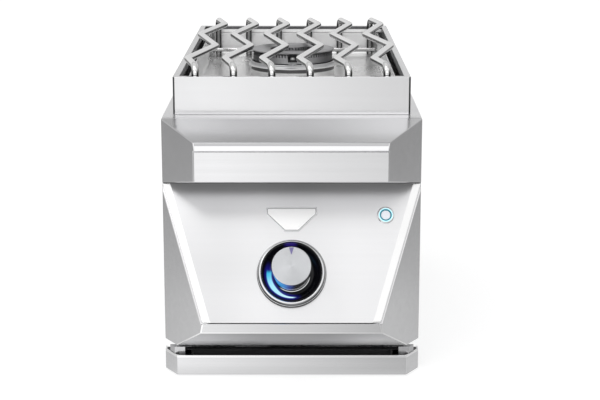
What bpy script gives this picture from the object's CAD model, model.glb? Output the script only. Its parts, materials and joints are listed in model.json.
import json
from math import atan2, cos, pi, radians, sin, tan

import bmesh
import bpy
from mathutils import Matrix, Vector


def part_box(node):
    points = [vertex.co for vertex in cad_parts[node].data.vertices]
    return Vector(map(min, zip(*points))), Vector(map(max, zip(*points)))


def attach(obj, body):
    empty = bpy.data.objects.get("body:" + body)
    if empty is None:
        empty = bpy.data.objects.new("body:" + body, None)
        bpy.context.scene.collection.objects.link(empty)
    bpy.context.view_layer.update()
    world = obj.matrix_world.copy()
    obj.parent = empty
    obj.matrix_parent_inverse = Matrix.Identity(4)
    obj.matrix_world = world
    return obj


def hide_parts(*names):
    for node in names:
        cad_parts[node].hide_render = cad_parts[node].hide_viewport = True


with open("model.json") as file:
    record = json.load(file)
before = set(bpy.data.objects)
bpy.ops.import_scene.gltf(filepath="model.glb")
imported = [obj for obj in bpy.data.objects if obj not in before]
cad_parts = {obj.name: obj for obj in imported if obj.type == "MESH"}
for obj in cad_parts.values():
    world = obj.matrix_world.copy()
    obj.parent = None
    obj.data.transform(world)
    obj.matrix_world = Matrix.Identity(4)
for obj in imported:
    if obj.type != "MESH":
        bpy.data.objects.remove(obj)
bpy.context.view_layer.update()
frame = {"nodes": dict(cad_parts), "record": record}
scene = bpy.context.scene
mm = 0.001
print("frame loaded,", len(frame["nodes"]), "solids")


# Fills a node's inputs, each with a plain value, a socket or another node's first output
def feed(tree, node, inputs):
    for key, value in inputs.items():
        if isinstance(value, bpy.types.Node):
            value = value.outputs[0]
        if isinstance(value, bpy.types.NodeSocket):
            tree.links.new(value, node.inputs[key])
        else:
            node.inputs[key].default_value = value


def addNode(tree, kind, inputs=None, **settings):
    made = tree.nodes.new(kind)
    for key, value in settings.items():
        setattr(made, key, value)
    feed(tree, made, inputs or {})
    return made


def calc(tree, operation, first, second=0.0, third=0.0, clamp=False):
    return addNode(tree, "ShaderNodeMath", {0: first, 1: second, 2: third},
                   operation=operation, use_clamp=clamp).outputs[0]


def times(tree, first, *others):
    for other in others:
        first = calc(tree, "MULTIPLY", first, other)
    return first


def minus(tree, first, second):
    return calc(tree, "SUBTRACT", first, second)


# A value times a factor, plus an offset
def scaled(tree, value, factor, offset):
    return calc(tree, "MULTIPLY_ADD", value, factor, offset)


def smooth(tree, value, low, high, outLow=0.0, outHigh=1.0):
    return addNode(tree, "ShaderNodeMapRange", {0: value, 1: low, 2: high, 3: outLow, 4: outHigh},
                   interpolation_type="SMOOTHSTEP").outputs[0]


def axes(tree, vector):
    return addNode(tree, "ShaderNodeSeparateXYZ", {0: vector}).outputs


def joined(tree, x=0.0, y=0.0, z=0.0):
    return addNode(tree, "ShaderNodeCombineXYZ", {0: x, 1: y, 2: z})


def mixColour(tree, share, first, second):
    made = addNode(tree, "ShaderNodeMix", {0: share}, data_type="RGBA")
    for place, colour in ((6, first), (7, second)):
        feed(tree, made, {place: (*colour, 1) if isinstance(colour, tuple) else colour})
    return made.outputs[2]


# A node tree with named inputs (label, kind and perhaps a value) and outputs of one kind
def newTree(kind, name, inputs, outputs, outputKind):
    tree = bpy.data.node_groups.new(name, kind)
    for label, inputKind, *value in inputs:
        socket = tree.interface.new_socket(label, in_out="INPUT", socket_type="NodeSocket" + inputKind)
        if value:
            socket.default_value = value[0]
    for label in outputs:
        tree.interface.new_socket(label, in_out="OUTPUT", socket_type="NodeSocket" + outputKind)
    return tree, tree.nodes.new("NodeGroupInput").outputs, tree.nodes.new("NodeGroupOutput")


# Long scratches of a brushed sheet: noise squeezed across the brushing direction
def makeBrushGrain():
    inputs = (("Vector", "Vector"), ("Along", "Vector", (4, 900, 900)), ("Contrast", "Float", 1.0))
    tree, into, out = newTree("ShaderNodeTree", "brushGrain", inputs, ("Height", "Tint"), "Float")
    stretched = addNode(tree, "ShaderNodeVectorMath", {0: into["Vector"], 1: into["Along"]},
                        operation="MULTIPLY")
    fine = addNode(tree, "ShaderNodeTexNoise",
                   {"Vector": stretched, "Scale": 1.0, "Detail": 3.0, "Roughness": 0.65})
    broad = addNode(tree, "ShaderNodeTexNoise", {"Vector": stretched, "Scale": 0.21, "Detail": 1.0})
    height = scaled(tree, broad, 0.6, times(tree, fine, 0.4))
    tint = scaled(tree, minus(tree, height, 0.5), into["Contrast"], 1.0)
    feed(tree, out, {"Height": height, "Tint": tint})
    return tree


# Faint cloudy marks left by wiping and handling
def makeHandling():
    inputs = (("Vector", "Vector"), ("Scale", "Float", 14.0), ("Low", "Float", 0.2), ("High", "Float", 0.3))
    tree, into, out = newTree("ShaderNodeTree", "handlingMarks", inputs, ("Roughness", "Mask"), "Float")
    cloud = addNode(tree, "ShaderNodeTexNoise", {"Vector": into["Vector"], "Scale": into["Scale"],
                                                 "Detail": 4.0, "Roughness": 0.6, "Distortion": 0.4})
    mask = smooth(tree, cloud, 0.35, 0.68)
    rough = addNode(tree, "ShaderNodeMapRange", {0: mask, 3: into["Low"], 4: into["High"]})
    feed(tree, out, {"Roughness": rough, "Mask": mask})
    return tree


# Rings cut by a lathe round the local z axis, and the sheen they give by angle
def makeSpunRings():
    inputs = (("Vector", "Vector"), ("Pitch", "Float", 0.0004), ("Sheen", "Float", 0.1))
    outputs = ("Height", "Sheen", "Radius", "Angle")
    tree, into, out = newTree("ShaderNodeTree", "spunRings", inputs, outputs, "Float")
    x, y = axes(tree, into["Vector"])[:2]
    radius = calc(tree, "SQRT", calc(tree, "ADD", times(tree, x, x), times(tree, y, y)))
    angle = calc(tree, "ARCTAN2", y, x)
    turns = calc(tree, "DIVIDE", radius, into["Pitch"])
    noise = addNode(tree, "ShaderNodeTexNoise", {"W": turns, "Scale": 1.0, "Detail": 2.0},
                    noise_dimensions="1D")
    wave = calc(tree, "COSINE", scaled(tree, angle, 2.0, -0.9))
    sheen = scaled(tree, wave, into["Sheen"], 1.0)
    feed(tree, out, {"Height": noise, "Sheen": sheen, "Radius": radius, "Angle": angle})
    return tree


brushGrain = makeBrushGrain()
handlingMarks = makeHandling()
spunRings = makeSpunRings()


def placeGroup(tree, group, inputs):
    return addNode(tree, "ShaderNodeGroup", inputs, node_tree=group).outputs


def emptyTree(owner):
    owner.use_nodes = True
    owner.node_tree.nodes.clear()
    return owner.node_tree


def newMaterial(name, constants):
    material = bpy.data.materials.new(name)
    tree = emptyTree(material)
    shader = addNode(tree, "ShaderNodeBsdfPrincipled", constants)
    addNode(tree, "ShaderNodeOutputMaterial", {0: shader})
    coords = tree.nodes.new("ShaderNodeTexCoord").outputs["Object"]
    return material, tree, shader, coords


def bumpInto(tree, shader, height, strength, distance):
    bump = addNode(tree, "ShaderNodeBump", {"Strength": strength, "Distance": distance, "Height": height})
    feed(tree, shader, {"Normal": bump})


def tinted(tree, colour, factor):
    return addNode(tree, "ShaderNodeVectorMath", {0: colour, "Scale": factor}, operation="SCALE").outputs[0]


# Handling marks set the roughness between two levels, and their mask is returned
def handled(tree, shader, coords, scale, low, high):
    marks = placeGroup(tree, handlingMarks, {"Vector": coords, "Scale": scale, "Low": low, "High": high})
    feed(tree, shader, {"Roughness": marks["Roughness"]})
    return marks["Mask"]


# Coordinates about a place, leaned back like the piece that stands there
def centred(tree, coords, place, lean):
    return addNode(tree, "ShaderNodeMapping", {"Vector": coords, "Location": place, "Rotation": (lean, 0, 0)},
                   vector_type="TEXTURE").outputs[0]


# Sheet or bar metal with brushed grain and handling marks
def brushedMetal(name, colour, along, low, high, contrast=0.12, bump=0.12, shade=None, markScale=9.0,
                 depth=0.0002):
    material, tree, shader, coords = newMaterial(name, {"Metallic": 1.0})
    grain = placeGroup(tree, brushGrain, {"Vector": coords, "Along": along, "Contrast": contrast})
    handled(tree, shader, coords, markScale, low, high)
    tint = times(tree, grain["Tint"], shade(tree, coords)) if shade else grain["Tint"]
    feed(tree, shader, {"Base Color": tinted(tree, colour, tint)})
    bumpInto(tree, shader, grain["Height"], bump, depth)
    return material


# Turned metal with rings about an axis
def spunMetal(name, colour, centre, lean, low, high, pitch, sheen, bump, markScale=40.0, depth=0.0001):
    material, tree, shader, coords = newMaterial(name, {"Metallic": 1.0})
    rings = placeGroup(tree, spunRings,
                       {"Vector": centred(tree, coords, centre, lean), "Pitch": pitch, "Sheen": sheen})
    handled(tree, shader, coords, markScale, low, high)
    feed(tree, shader, {"Base Color": tinted(tree, colour, rings["Sheen"])})
    bumpInto(tree, shader, rings["Height"], bump, depth)
    return material


# Sand-cast, moulded, glazed or painted skin
def grainyMaterial(name, colour, metallic, low, high, grainScale, bump, darker=0.85, constants=None,
                   shade=None, markScale=22.0, depth=0.0003):
    material, tree, shader, coords = newMaterial(name, {"Metallic": metallic, **(constants or {})})
    noise = addNode(tree, "ShaderNodeTexNoise",
                    {"Vector": coords, "Scale": grainScale, "Detail": 4.0, "Roughness": 0.6})
    mask = handled(tree, shader, coords, markScale, low, high)
    mottled = mixColour(tree, mask, colour, tuple(part * darker for part in colour))
    if shade:
        mottled = tinted(tree, mottled, shade(tree, coords))
    feed(tree, shader, {"Base Color": mottled})
    bumpInto(tree, shader, noise, bump, depth)
    return material


# Rounds the corners of a flat line of points, each by its own radius
def roundCorners(points, radii, steps=5, closed=True):
    made = []
    count = len(points)
    for i in range(count):
        radius = radii[i] if hasattr(radii, "__len__") else radii
        here = Vector(points[i])
        if radius <= 0 or (not closed and i in (0, count - 1)):
            made.append(here)
            continue
        back = Vector(points[i - 1]) - here
        ahead = Vector(points[(i + 1) % count]) - here
        half = back.angle(ahead) / 2
        reach = min(radius / tan(half), back.length * 0.49, ahead.length * 0.49)
        radius = reach * tan(half)
        centre = here + (back.normalized() + ahead.normalized()).normalized() * (radius / sin(half))
        start = here + back.normalized() * reach - centre
        end = here + ahead.normalized() * reach - centre
        first = atan2(start.y, start.x)
        sweep = (atan2(end.y, end.x) - first + pi) % (2 * pi) - pi
        for k in range(steps + 1):
            angle = first + sweep * k / steps
            made.append(centre + Vector((cos(angle), sin(angle))) * radius)
    return made


def skinLoops(loops, capStart=True, capEnd=True, closed=False):
    bm = bmesh.new()
    rings = [[bm.verts.new(point) for point in loop] for loop in loops]
    count = len(loops[0])
    pairs = list(zip(rings, rings[1:]))
    if closed:
        pairs.append((rings[-1], rings[0]))
    for low, high in pairs:
        for i in range(count):
            j = (i + 1) % count
            bm.faces.new((low[i], low[j], high[j], high[i]))
    if not closed and capStart:
        bm.faces.new(rings[0][::-1])
    if not closed and capEnd:
        bm.faces.new(rings[-1])
    bmesh.ops.remove_doubles(bm, verts=bm.verts, dist=1e-6)
    bmesh.ops.dissolve_degenerate(bm, edges=bm.edges, dist=1e-7)
    bmesh.ops.recalc_face_normals(bm, faces=bm.faces)
    return bm


# Turns a profile of (radius, height) pairs in mm about the z axis of a matrix
def latheMesh(profile, matrix, segments=96, closed=False):
    loops = []
    for radius, height in profile:
        loop = []
        for k in range(segments):
            angle = 2 * pi * k / segments
            loop.append(matrix @ Vector((radius * cos(angle) * mm, radius * sin(angle) * mm, height * mm)))
        loops.append(loop)
    atPole = [profile[0][0] < 1e-6, profile[-1][0] < 1e-6]
    return skinLoops(loops, not atPole[0], not atPole[1], closed)


# The same from (radius, height, rounding) rows, as a ring that is closed or a body between two poles
def turnedMesh(profile, matrix, segments=96, ring=False, steps=4):
    line = roundCorners([row[:2] for row in profile], [row[2] for row in profile], steps, ring)
    return latheMesh(line, matrix, segments, ring)


def roundedRectangle(halfX, y0, y1, radius, z, steps=5):
    corners = [(halfX, y1), (-halfX, y1), (-halfX, y0), (halfX, y0)]
    points = roundCorners(corners, max(radius, 0.05), steps)
    return [Vector((p.x * mm, p.y * mm, z * mm)) for p in points]


def joinMeshes(target, other):
    mesh = bpy.data.meshes.new("part")
    other.to_mesh(mesh)
    other.free()
    target.from_mesh(mesh)
    bpy.data.meshes.remove(mesh)


def newObject(name, bm, material):
    mesh = bpy.data.meshes.new(name)
    bm.to_mesh(mesh)
    bm.free()
    mesh.materials.append(material)
    made = bpy.data.objects.new(name, mesh)
    scene.collection.objects.link(made)
    return made


def bakeModifiers(piece):
    bpy.context.view_layer.update()
    baked = bpy.data.meshes.new_from_object(piece.evaluated_get(bpy.context.evaluated_depsgraph_get()))
    piece.modifiers.clear()
    old = piece.data
    piece.data = baked
    baked.name = piece.name
    bpy.data.meshes.remove(old)


# Cuts other objects from a piece or joins them to it, and removes them
def combineWith(piece, operation, others):
    for other in others:
        modifier = piece.modifiers.new("combine", "BOOLEAN")
        modifier.operation = operation
        modifier.solver = "EXACT"
        modifier.object = other
    bakeModifiers(piece)
    for other in others:
        bpy.data.objects.remove(other)


# Rounds a piece's edges, shades it smooth and keeps its flats flat
def finishEdges(piece, width=0.0, segments=2, sharpAngle=40, edgeAngle=28):
    if width:
        bevel = piece.modifiers.new("edges", "BEVEL")
        bevel.width = width * mm
        bevel.segments = segments
        bevel.limit_method = "ANGLE"
        bevel.angle_limit = radians(edgeAngle)
        bevel.miter_outer = "MITER_ARC"
        bakeModifiers(piece)
    mesh = piece.data
    mesh.polygons.foreach_set("use_smooth", [True] * len(mesh.polygons))
    mesh.set_sharp_from_angle(angle=radians(sharpAngle))
    weighted = piece.modifiers.new("flats", "WEIGHTED_NORMAL")
    weighted.keep_sharp = True
    weighted.weight = 80
    bakeModifiers(piece)


def register(piece, body, replaced=()):
    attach(piece, body)
    if replaced:
        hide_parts(*replaced)
    return piece


def finishPiece(name, bm, material, body, replaced=(), width=0.0, segments=2, sharpAngle=40):
    piece = newObject(name, bm, material)
    finishEdges(piece, width, segments, sharpAngle)
    return register(piece, body, replaced)


# A merged copy of a CAD solid with its edges rounded
def refineNode(node, name, material, body, width=0.4, segments=2, pierced=False):
    bm = bmesh.new()
    bm.from_mesh(frame["nodes"][node].data)
    bmesh.ops.remove_doubles(bm, verts=bm.verts, dist=1e-6)
    if not pierced:
        bmesh.ops.dissolve_limit(bm, angle_limit=radians(1.0), verts=bm.verts, edges=bm.edges)
    return finishPiece(name, bm, material, body, (node,), width, segments)


# Gives one more material to the faces that pass a test and still have the first one
def paintFaces(piece, material, test):
    piece.data.materials.append(material)
    for face in piece.data.polygons:
        if face.material_index == 0 and test(face):
            face.material_index = len(piece.data.materials) - 1


# Ends a geometry tree: its copies become real and take one material
def endTree(tree, geometry, material, out):
    real = addNode(tree, "GeometryNodeRealizeInstances", {0: geometry})
    feed(tree, out, {0: addNode(tree, "GeometryNodeSetMaterial", {"Geometry": real, "Material": material})})
    return tree


def runTree(piece, tree, values):
    modifier = piece.modifiers.new(tree.name, "NODES")
    modifier.node_group = tree
    for item in tree.interface.items_tree:
        if item.in_out == "INPUT" and item.name in values:
            modifier[item.identifier] = values[item.name]
    bakeModifiers(piece)


# The nose's underside darkens towards the fold above the panel
def foldShade(tree, coords):
    return smooth(tree, axes(tree, coords)[1], -0.290, -0.272, 1.0, 0.22)


# The top bevel mirrors the box above it, a little stronger at its ends
def bevelShade(tree, coords):
    x = axes(tree, coords)[0]
    return times(tree, smooth(tree, x, 0.0, 0.16, 0.8, 1.18), smooth(tree, x, -0.13, -0.04, 1.14, 1.0))


# The lower bevel brightens towards its ends and its foot
def lowerShade(tree, coords):
    place = axes(tree, coords)
    left = smooth(tree, place[0], -0.03, -0.13, 1.0, 1.36)
    right = smooth(tree, place[0], 0.03, 0.13, 1.0, 1.66)
    return times(tree, left, right, smooth(tree, place[2], 0.076, 0.046, 0.78, 1.25))


# The raised box is a little duller at its left end
def boxShade(tree, coords):
    return smooth(tree, axes(tree, coords)[0], -0.15, 0.12, 0.92, 1.035)


# The panel's sheen grows towards its right side and its foot
def panelShade(tree, coords):
    place = axes(tree, coords)
    right = smooth(tree, place[0], 0.0, 0.09, 1.0, 1.14)
    foot = smooth(tree, place[2], 0.16, 0.11, 1.0, 1.1)
    left = smooth(tree, place[0], -0.1, -0.03, 0.9, 1.0)
    return times(tree, calc(tree, "MAXIMUM", right, foot), left)


# Heat darkens the boss just under the burner's flange
def seatShade(tree, coords):
    return smooth(tree, axes(tree, coords)[2], 0.3515, 0.3532, 1.35, 0.16)


# The tray front's top edge is worn bright
def trayShade(tree, coords):
    return smooth(tree, axes(tree, coords)[2], 0.0248, 0.0258, 1.0, 1.25)


# Rods are polished on top and dulled by the flame at their sides, more so on the rear legs
def rodShade(tree, coords):
    way = axes(tree, tree.nodes.new("ShaderNodeNewGeometry").outputs["Normal"])
    top = smooth(tree, way[2], 0.05, 0.46, 0.1, 1.0)
    under = smooth(tree, way[2], -0.25, -0.55, 0.1, 0.5)
    front = smooth(tree, times(tree, way[1], -1.0), 0.8, 0.98)
    rear = smooth(tree, axes(tree, coords)[1], 0.25, 0.3, 1.0, 0.3)
    return calc(tree, "MAXIMUM", calc(tree, "MAXIMUM", top, under), times(tree, front, rear))


# The burner's casting is brightest near its middle and darkens round its sides
def castingShade(tree, coords):
    x = axes(tree, coords)[0]
    sides = smooth(tree, calc(tree, "ABSOLUTE", x), 0.02, 0.054, 1.0, 0.42)
    left = smooth(tree, x, -0.026, -0.006, 0.72, 1.4)
    return times(tree, sides, calc(tree, "MINIMUM", left, smooth(tree, x, 0.0, 0.016, 1.4, 1.0)))


steelTint = (0.80, 0.80, 0.81)
sideways = (5, 700, 700)  # grain of sheet brushed from side to side
coarse = (6, 260, 260)  # coarser grain of the parts near the flame
allRound = (60, 60, 60)
brushedSteel = brushedMetal("brushedSteel", steelTint, sideways, 0.2, 0.27)
bevelSteel = brushedMetal("bevelSteel", steelTint, sideways, 0.17, 0.22, 0.06, 0.03, bevelShade)
bullnoseSteel = brushedMetal("bullnoseSteel", (0.54, 0.54, 0.55), sideways, 0.2, 0.26, 0.06, 0.03)
undercutSteel = brushedMetal("undercutSteel", steelTint, sideways, 0.4, 0.5, shade=foldShade)
lowerSteel = brushedMetal("lowerSteel", (0.58, 0.58, 0.59), sideways, 0.42, 0.48, shade=lowerShade)
boxSteel = brushedMetal("boxSteel", (0.81, 0.81, 0.82), sideways, 0.16, 0.2, 0.06, 0.03, boxShade)
edgeSteel = brushedMetal("edgeSteel", (0.09, 0.09, 0.095), (300, 300, 5), 0.2, 0.3, 0.1, 0.05)
slotSteel = brushedMetal("slotSteel", (0.16, 0.16, 0.165), (20, 20, 200), 0.3, 0.4, 0.2, 0.05)
flangeSteel = brushedMetal("flangeSteel", (0.95, 0.95, 0.96), sideways, 0.28, 0.36, 0.05, 0.01)
panelSteel = brushedMetal("panelSteel", (0.82, 0.82, 0.83), (5, 900, 900), 0.288, 0.292, 0.04, 0.02,
                          panelShade)
foldSteel = brushedMetal("foldSteel", (1.0, 1.0, 1.0), sideways, 0.2, 0.27, 0.05, 0.03)
blockSteel = brushedMetal("blockSteel", (0.62, 0.62, 0.63), sideways, 0.24, 0.3, 0.08, 0.05)
seatSteel = brushedMetal("seatSteel", (0.95, 0.95, 0.95), coarse, 0.3, 0.38, 0.06, 0.01, seatShade)
wallSteel = brushedMetal("wallSteel", (0.97, 0.97, 0.97), coarse, 0.42, 0.5, 0.06, 0.01)
traySteel = brushedMetal("traySteel", steelTint, sideways, 0.2, 0.27, shade=trayShade)
panelEdge = brushedMetal("panelEdge", (1.0, 1.0, 1.0), allRound, 0.3, 0.36, 0.02, 0.02)
panSteel = brushedMetal("panSteel", (0.99, 0.99, 0.99), coarse, 0.27, 0.3, 0.03, 0.003)
ringSteel = brushedMetal("ringSteel", (0.8, 0.8, 0.81), allRound, 0.32, 0.38, 0.1, 0.004)
rodSteel = brushedMetal("rodSteel", (0.97, 0.97, 0.97), (300, 8, 300), 0.1, 0.14, 0.08, 0.03, rodShade)
innerSheet = brushedMetal("innerSheet", (0.66, 0.68, 0.69), (40, 60, 60), 0.34, 0.46, 0.3, 0.1)
brightTrim = brushedMetal("brightTrim", (0.86, 0.87, 0.88), (200, 200, 200), 0.05, 0.09, 0.03, 0.01)
wornEdge = grainyMaterial("wornEdge", (0.9, 0.9, 0.9), 0.0, 0.3, 0.4, 400.0, 0.02, 0.96)
sootMetal = grainyMaterial("sootMetal", (0.035, 0.035, 0.036), 0.5, 0.5, 0.62, 700.0, 0.3)
burnerCasting = grainyMaterial("burnerCasting", (0.46, 0.46, 0.47), 0.9, 0.42, 0.55, 900.0, 0.35,
                               shade=castingShade)
brass = grainyMaterial("brass", (0.69, 0.55, 0.29), 1.0, 0.28, 0.38, 400.0, 0.08)
blackPlastic = grainyMaterial("blackPlastic", (0.03, 0.03, 0.032), 0.0, 0.42, 0.55, 1500.0, 0.2)
ceramic = grainyMaterial("ceramic", (0.93, 0.92, 0.89), 0.0, 0.2, 0.3, 200.0, 0.03, 0.96)
glazed = grainyMaterial("glazed", (0.97, 0.97, 0.96), 0.0, 0.12, 0.2, 200.0, 0.01, 0.98, {"Coat Weight": 0.5})
buttonWhite = grainyMaterial("buttonWhite", (0.86, 0.88, 0.93), 0.0, 0.22, 0.3, 300.0, 0.02, 0.98,
                             {"Emission Color": (0.86, 0.9, 1.0, 1), "Emission Strength": 0.22})
pointerBlue = grainyMaterial("pointerBlue", (0.2, 0.18, 0.36), 0.0, 0.25, 0.35, 300.0, 0.02, 0.8,
                             {"Emission Color": (0.2, 0.16, 0.5, 1), "Emission Strength": 0.12})
print("materials made")

fasciaShape = {
    "chamferStart": -251.376,  # y where the side chamfers begin; the other reaches are measured from it
    "halfWidth": 165.0, "chamferShare": 0.62487, "sheet": 1.5, "foldRadius": 1.3, "foldAngle": 16,
    "counterHeight": 332.5, "returnBack": 17.5, "hem": 2.0, "bevelFoot": 316.0, "noseTop": 304.5,
    "noseFoot": 267.0, "noseReach": 74.0, "bullnoseDepth": 2.5, "stripTop": 311.6, "stripLean": 0.9,
    "plateSeat": 2.3, "plateGap": 0.5,  # step behind the nose plate
    "gutter": ((0, 250.05), (4.35, 249.0), (0, 240.95)),  # fold behind the panel's top edge
    "panelTop": 250.0, "panelFoot": 90.0, "panelReach": 86.5, "pocketFoot": (-82.86, 87.69),
    "lipEdge": (-86.6, 89.7), "lipFoot": 76.0, "lipReach": 82.5, "fasciaFoot": 41.8, "footReach": 27.0,
}
panelLean = atan2(fasciaShape["panelTop"] - fasciaShape["panelFoot"], fasciaShape["panelReach"])
slopeWay = Vector((0, cos(panelLean), sin(panelLean)))
panelWay = Vector((0, -sin(panelLean), cos(panelLean)))
panelOrigin = Vector((0, fasciaShape["chamferStart"], fasciaShape["panelTop"]))
panelPlaces = {"knob": (0, 118.5), "button": (119, 43), "badge": (0, 33)}  # across, down the slope


# Point in mm over the panel: across, down its slope, out along its normal
def panelPoint(across, fromTop, outward=0.0):
    return panelOrigin + Vector((across, 0, 0)) - slopeWay * fromTop + panelWay * outward


def panelFrame(name):
    return Matrix.Translation(panelPoint(*panelPlaces[name]) * mm) @ Matrix.Rotation(panelLean, 4, "X")


knobFrame = panelFrame("knob")
buttonFrame = panelFrame("button")
burnerY = 63.624
burnerFrame = Matrix.Translation(Vector((0, burnerY * mm, 0)))

openingShape = {"knob": 11.4, "button": 8.4, "below": 14.0, "above": 6.0}


# Round openings for the valve stem and the push-button, square to the panel
def cutOpenings(piece):
    s = openingShape
    cutters = []
    for matrix, radius in ((knobFrame, s["knob"]), (buttonFrame, s["button"])):
        bm = latheMesh([(radius, -s["below"]), (radius, s["above"])], matrix, 64)
        cutters.append(newObject("cutter", bm, brushedSteel))
    combineWith(piece, "DIFFERENCE", cutters)


def fasciaHalf(y):
    return fasciaShape["halfWidth"] - max(0.0, -y) * fasciaShape["chamferShare"]


# Side view of the folded sheet as (y, z) points, from the counter down to the foot
def fasciaLine():
    s = fasciaShape
    front = -s["noseReach"]
    crown = front + s["bullnoseDepth"]
    seat = front + s["plateSeat"]
    return [
        (s["returnBack"] - s["hem"], s["counterHeight"]), (0, s["counterHeight"]), (crown, s["bevelFoot"]),
        (crown - s["stripLean"], s["stripTop"]), (front, s["noseTop"] + 1.0), (seat, s["noseTop"]),
        (seat, s["noseFoot"] - s["plateGap"]), *s["gutter"], s["pocketFoot"], s["lipEdge"],
        (-s["lipReach"], s["lipFoot"]), (-s["footReach"], s["fasciaFoot"]), (0, s["fasciaFoot"]),
        (s["returnBack"], s["fasciaFoot"]),
    ]


# The folded sheet before its folds are rounded: bands across the front, and its two sides
def fasciaSheet():
    line = fasciaLine()
    last = len(line) - 1
    shift = fasciaShape["chamferStart"]
    bm = bmesh.new()
    sides = {}
    for side in (-1, 1):
        sides[side] = [bm.verts.new((side * fasciaHalf(y) * mm, (y + shift) * mm, z * mm)) for y, z in line]
    for i in range(last):
        bm.faces.new((sides[-1][i], sides[1][i], sides[1][i + 1], sides[-1][i + 1]))
    valley = max(range(2, last - 1), key=lambda i: line[i][0])
    for side, row in sides.items():
        strip = [row[0], row[1], row[valley - 1], row[valley], row[valley + 1], row[last - 1], row[last]]
        for outline in (row[1:valley], row[valley + 1:last], strip):
            bm.faces.new(outline if side > 0 else outline[::-1])
    bmesh.ops.recalc_face_normals(bm, faces=bm.faces)
    bm.normal_update()
    if max(bm.faces, key=lambda face: face.calc_center_median().z).normal.z < 0:
        bmesh.ops.reverse_faces(bm, faces=bm.faces)
    bm.normal_update()
    return bm


def makeFascia():
    s = fasciaShape
    bm = fasciaSheet()
    folds = [edge for edge in bm.edges
             if len(edge.link_faces) == 2 and edge.calc_face_angle() > radians(s["foldAngle"])]
    rounded = bmesh.ops.bevel(bm, geom=folds, offset=s["foldRadius"] * mm, offset_type="OFFSET", segments=3,
                              profile=0.5, affect="EDGES", clamp_overlap=True)
    for face in rounded["faces"]:
        if face.calc_center_median().z < (s["panelFoot"] - 2.5) * mm:
            face.material_index = 1
    piece = newObject("fasciaShell", bm, brushedSteel)
    piece.data.materials.append(foldSteel)
    solid = piece.modifiers.new("sheet", "SOLIDIFY")
    solid.thickness = s["sheet"] * mm
    solid.offset = -1
    solid.use_even_offset = True
    bakeModifiers(piece)
    cutOpenings(piece)
    finishEdges(piece)

    def lying(face, low, high):
        return face.normal.z < -0.6 and low < face.center.z / mm < high

    def facing(face, low, high):
        return face.normal.y < -0.25 and abs(face.normal.x) < 0.2 and low < face.center.z / mm < high

    paintFaces(piece, undercutSteel, lambda face: lying(face, s["panelTop"] - 1, s["noseFoot"] + 1))
    paintFaces(piece, lowerSteel, lambda face: lying(face, s["fasciaFoot"] - 1, s["lipFoot"] + 4))
    paintFaces(piece, bevelSteel, lambda face: face.normal.z > 0.9 and face.normal.y < -0.1
               and face.center.z / mm > s["bevelFoot"] - 1)
    paintFaces(piece, bullnoseSteel, lambda face: facing(face, s["stripTop"], s["bevelFoot"] + 1))
    paintFaces(piece, flangeSteel, lambda face: facing(face, s["noseTop"], s["stripTop"]))
    register(piece, "housing", ("fascia_shell",))


controlPanelShape = {
    "slope": 181.89, "narrowing": 0.29717, "topRadius": 0.4,
    # From the back to the face: inset at the sides, top and foot, height over the slope, radius at the foot
    "rows": ((0.2, 1.4, 0.3, -4.0, 7.0), (0.2, 0.4, 0.2, -3.7, 7.0), (0.7, 0.4, 0.6, -3.2, 7.0),
             (9.5, 0.4, 1.0, -0.1, 4.0), (10.0, 0.4, 1.3, 0.0, 4.0)),
}


def panelOutline(sideInset, top, footInset, outward, radius):
    s = controlPanelShape
    foot = s["slope"] - footInset
    wide, narrow = (fasciaShape["halfWidth"] - s["narrowing"] * down - sideInset for down in (top, foot))
    points = roundCorners([(wide, top), (narrow, foot), (-narrow, foot), (-wide, top)],
                          [s["topRadius"], radius, radius, s["topRadius"]], 6)
    return [panelPoint(p.x, p.y, outward) * mm for p in points]


def makeControlPanel():
    loops = [panelOutline(*row) for row in controlPanelShape["rows"]]
    piece = newObject("controlPanel", skinLoops(loops), panelSteel)
    cutOpenings(piece)
    finishEdges(piece, sharpAngle=12)
    paintFaces(piece, panelEdge, lambda face: 0.6 < face.normal.dot(panelWay) < 0.99)
    paintFaces(piece, edgeSteel, lambda face: abs(face.normal.dot(panelWay)) < 0.6 and face.normal.z < -0.2)
    register(piece, "housing", ("control_panel",))


badgeShape = {"halfWidth": 32.0, "height": 31.0, "corner": 9.0, "rounding": 1.2, "lift": 0.3,
              "thickness": 1.6, "soft": 0.25, "rim": 1.2, "line": 0.45, "lineDepth": 0.4, "lineSlant": 0.1}


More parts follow.
